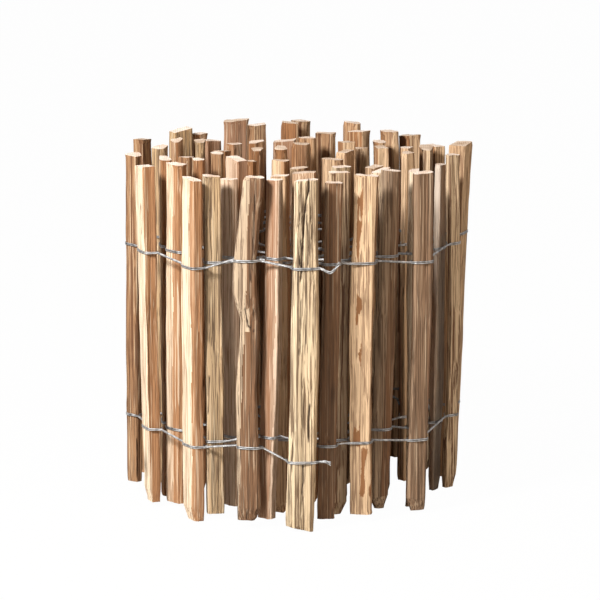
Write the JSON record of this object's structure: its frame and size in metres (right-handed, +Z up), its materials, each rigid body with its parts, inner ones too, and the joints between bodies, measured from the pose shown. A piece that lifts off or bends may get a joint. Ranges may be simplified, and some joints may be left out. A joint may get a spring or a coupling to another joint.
{
  "type": "fence roll",
  "caption": "Roll of split hazel paling fence: riven wooden pales held by two rows of twisted galvanised wire, wound up and standing on its feet",
  "frame": {"origin": "on the floor, at the middle of the box round the roll", "axes": "+Z up along the pales, -Y the front, where the loose end of the fence lies, +X to the right"},
  "size_m": [0.5238, 0.5237, 0.5298],
  "materials": {
    "wood": "rough",
    "wire": "satin"
  },
  "bodies": {
    "root": {"core_pales": "wood", "lower_wire_inner_first": "wire", "lower_wire_outer_first": "wire", "pale_01": "wood", "pale_02": "wood", "pale_03": "wood", "pale_04": "wood", "pale_05": "wood", "pale_06": "wood", "pale_07": "wood", "pale_08": "wood", "pale_09": "wood", "pale_10": "wood", "pale_11": "wood", "pale_12": "wood", "pale_13": "wood", "pale_14": "wood", "pale_15": "wood", "pale_16": "wood", "pale_17": "wood", "pale_18": "wood", "pale_19": "wood", "pale_20": "wood", "pale_21": "wood", "pale_22": "wood", "pale_23": "wood", "pale_24": "wood", "pale_25": "wood", "pale_26": "wood", "pale_27": "wood", "pale_28": "wood", "pale_29": "wood", "pale_30": "wood", "pale_31": "wood", "pale_32": "wood", "pale_33": "wood", "pale_34": "wood", "pale_35": "wood", "pale_36": "wood", "pale_37": "wood", "pale_38": "wood", "pale_39": "wood", "pale_40": "wood", "pale_41": "wood", "pale_42": "wood", "pale_43": "wood", "pale_44": "wood", "pale_45": "wood", "pale_46": "wood", "pale_47": "wood", "pale_48": "wood", "pale_49": "wood", "pale_50": "wood", "pale_51": "wood", "pale_52": "wood", "pale_53": "wood", "pale_54": "wood", "upper_wire_inner_first": "wire", "upper_wire_outer_first": "wire"}
  },
  "joints": []
}
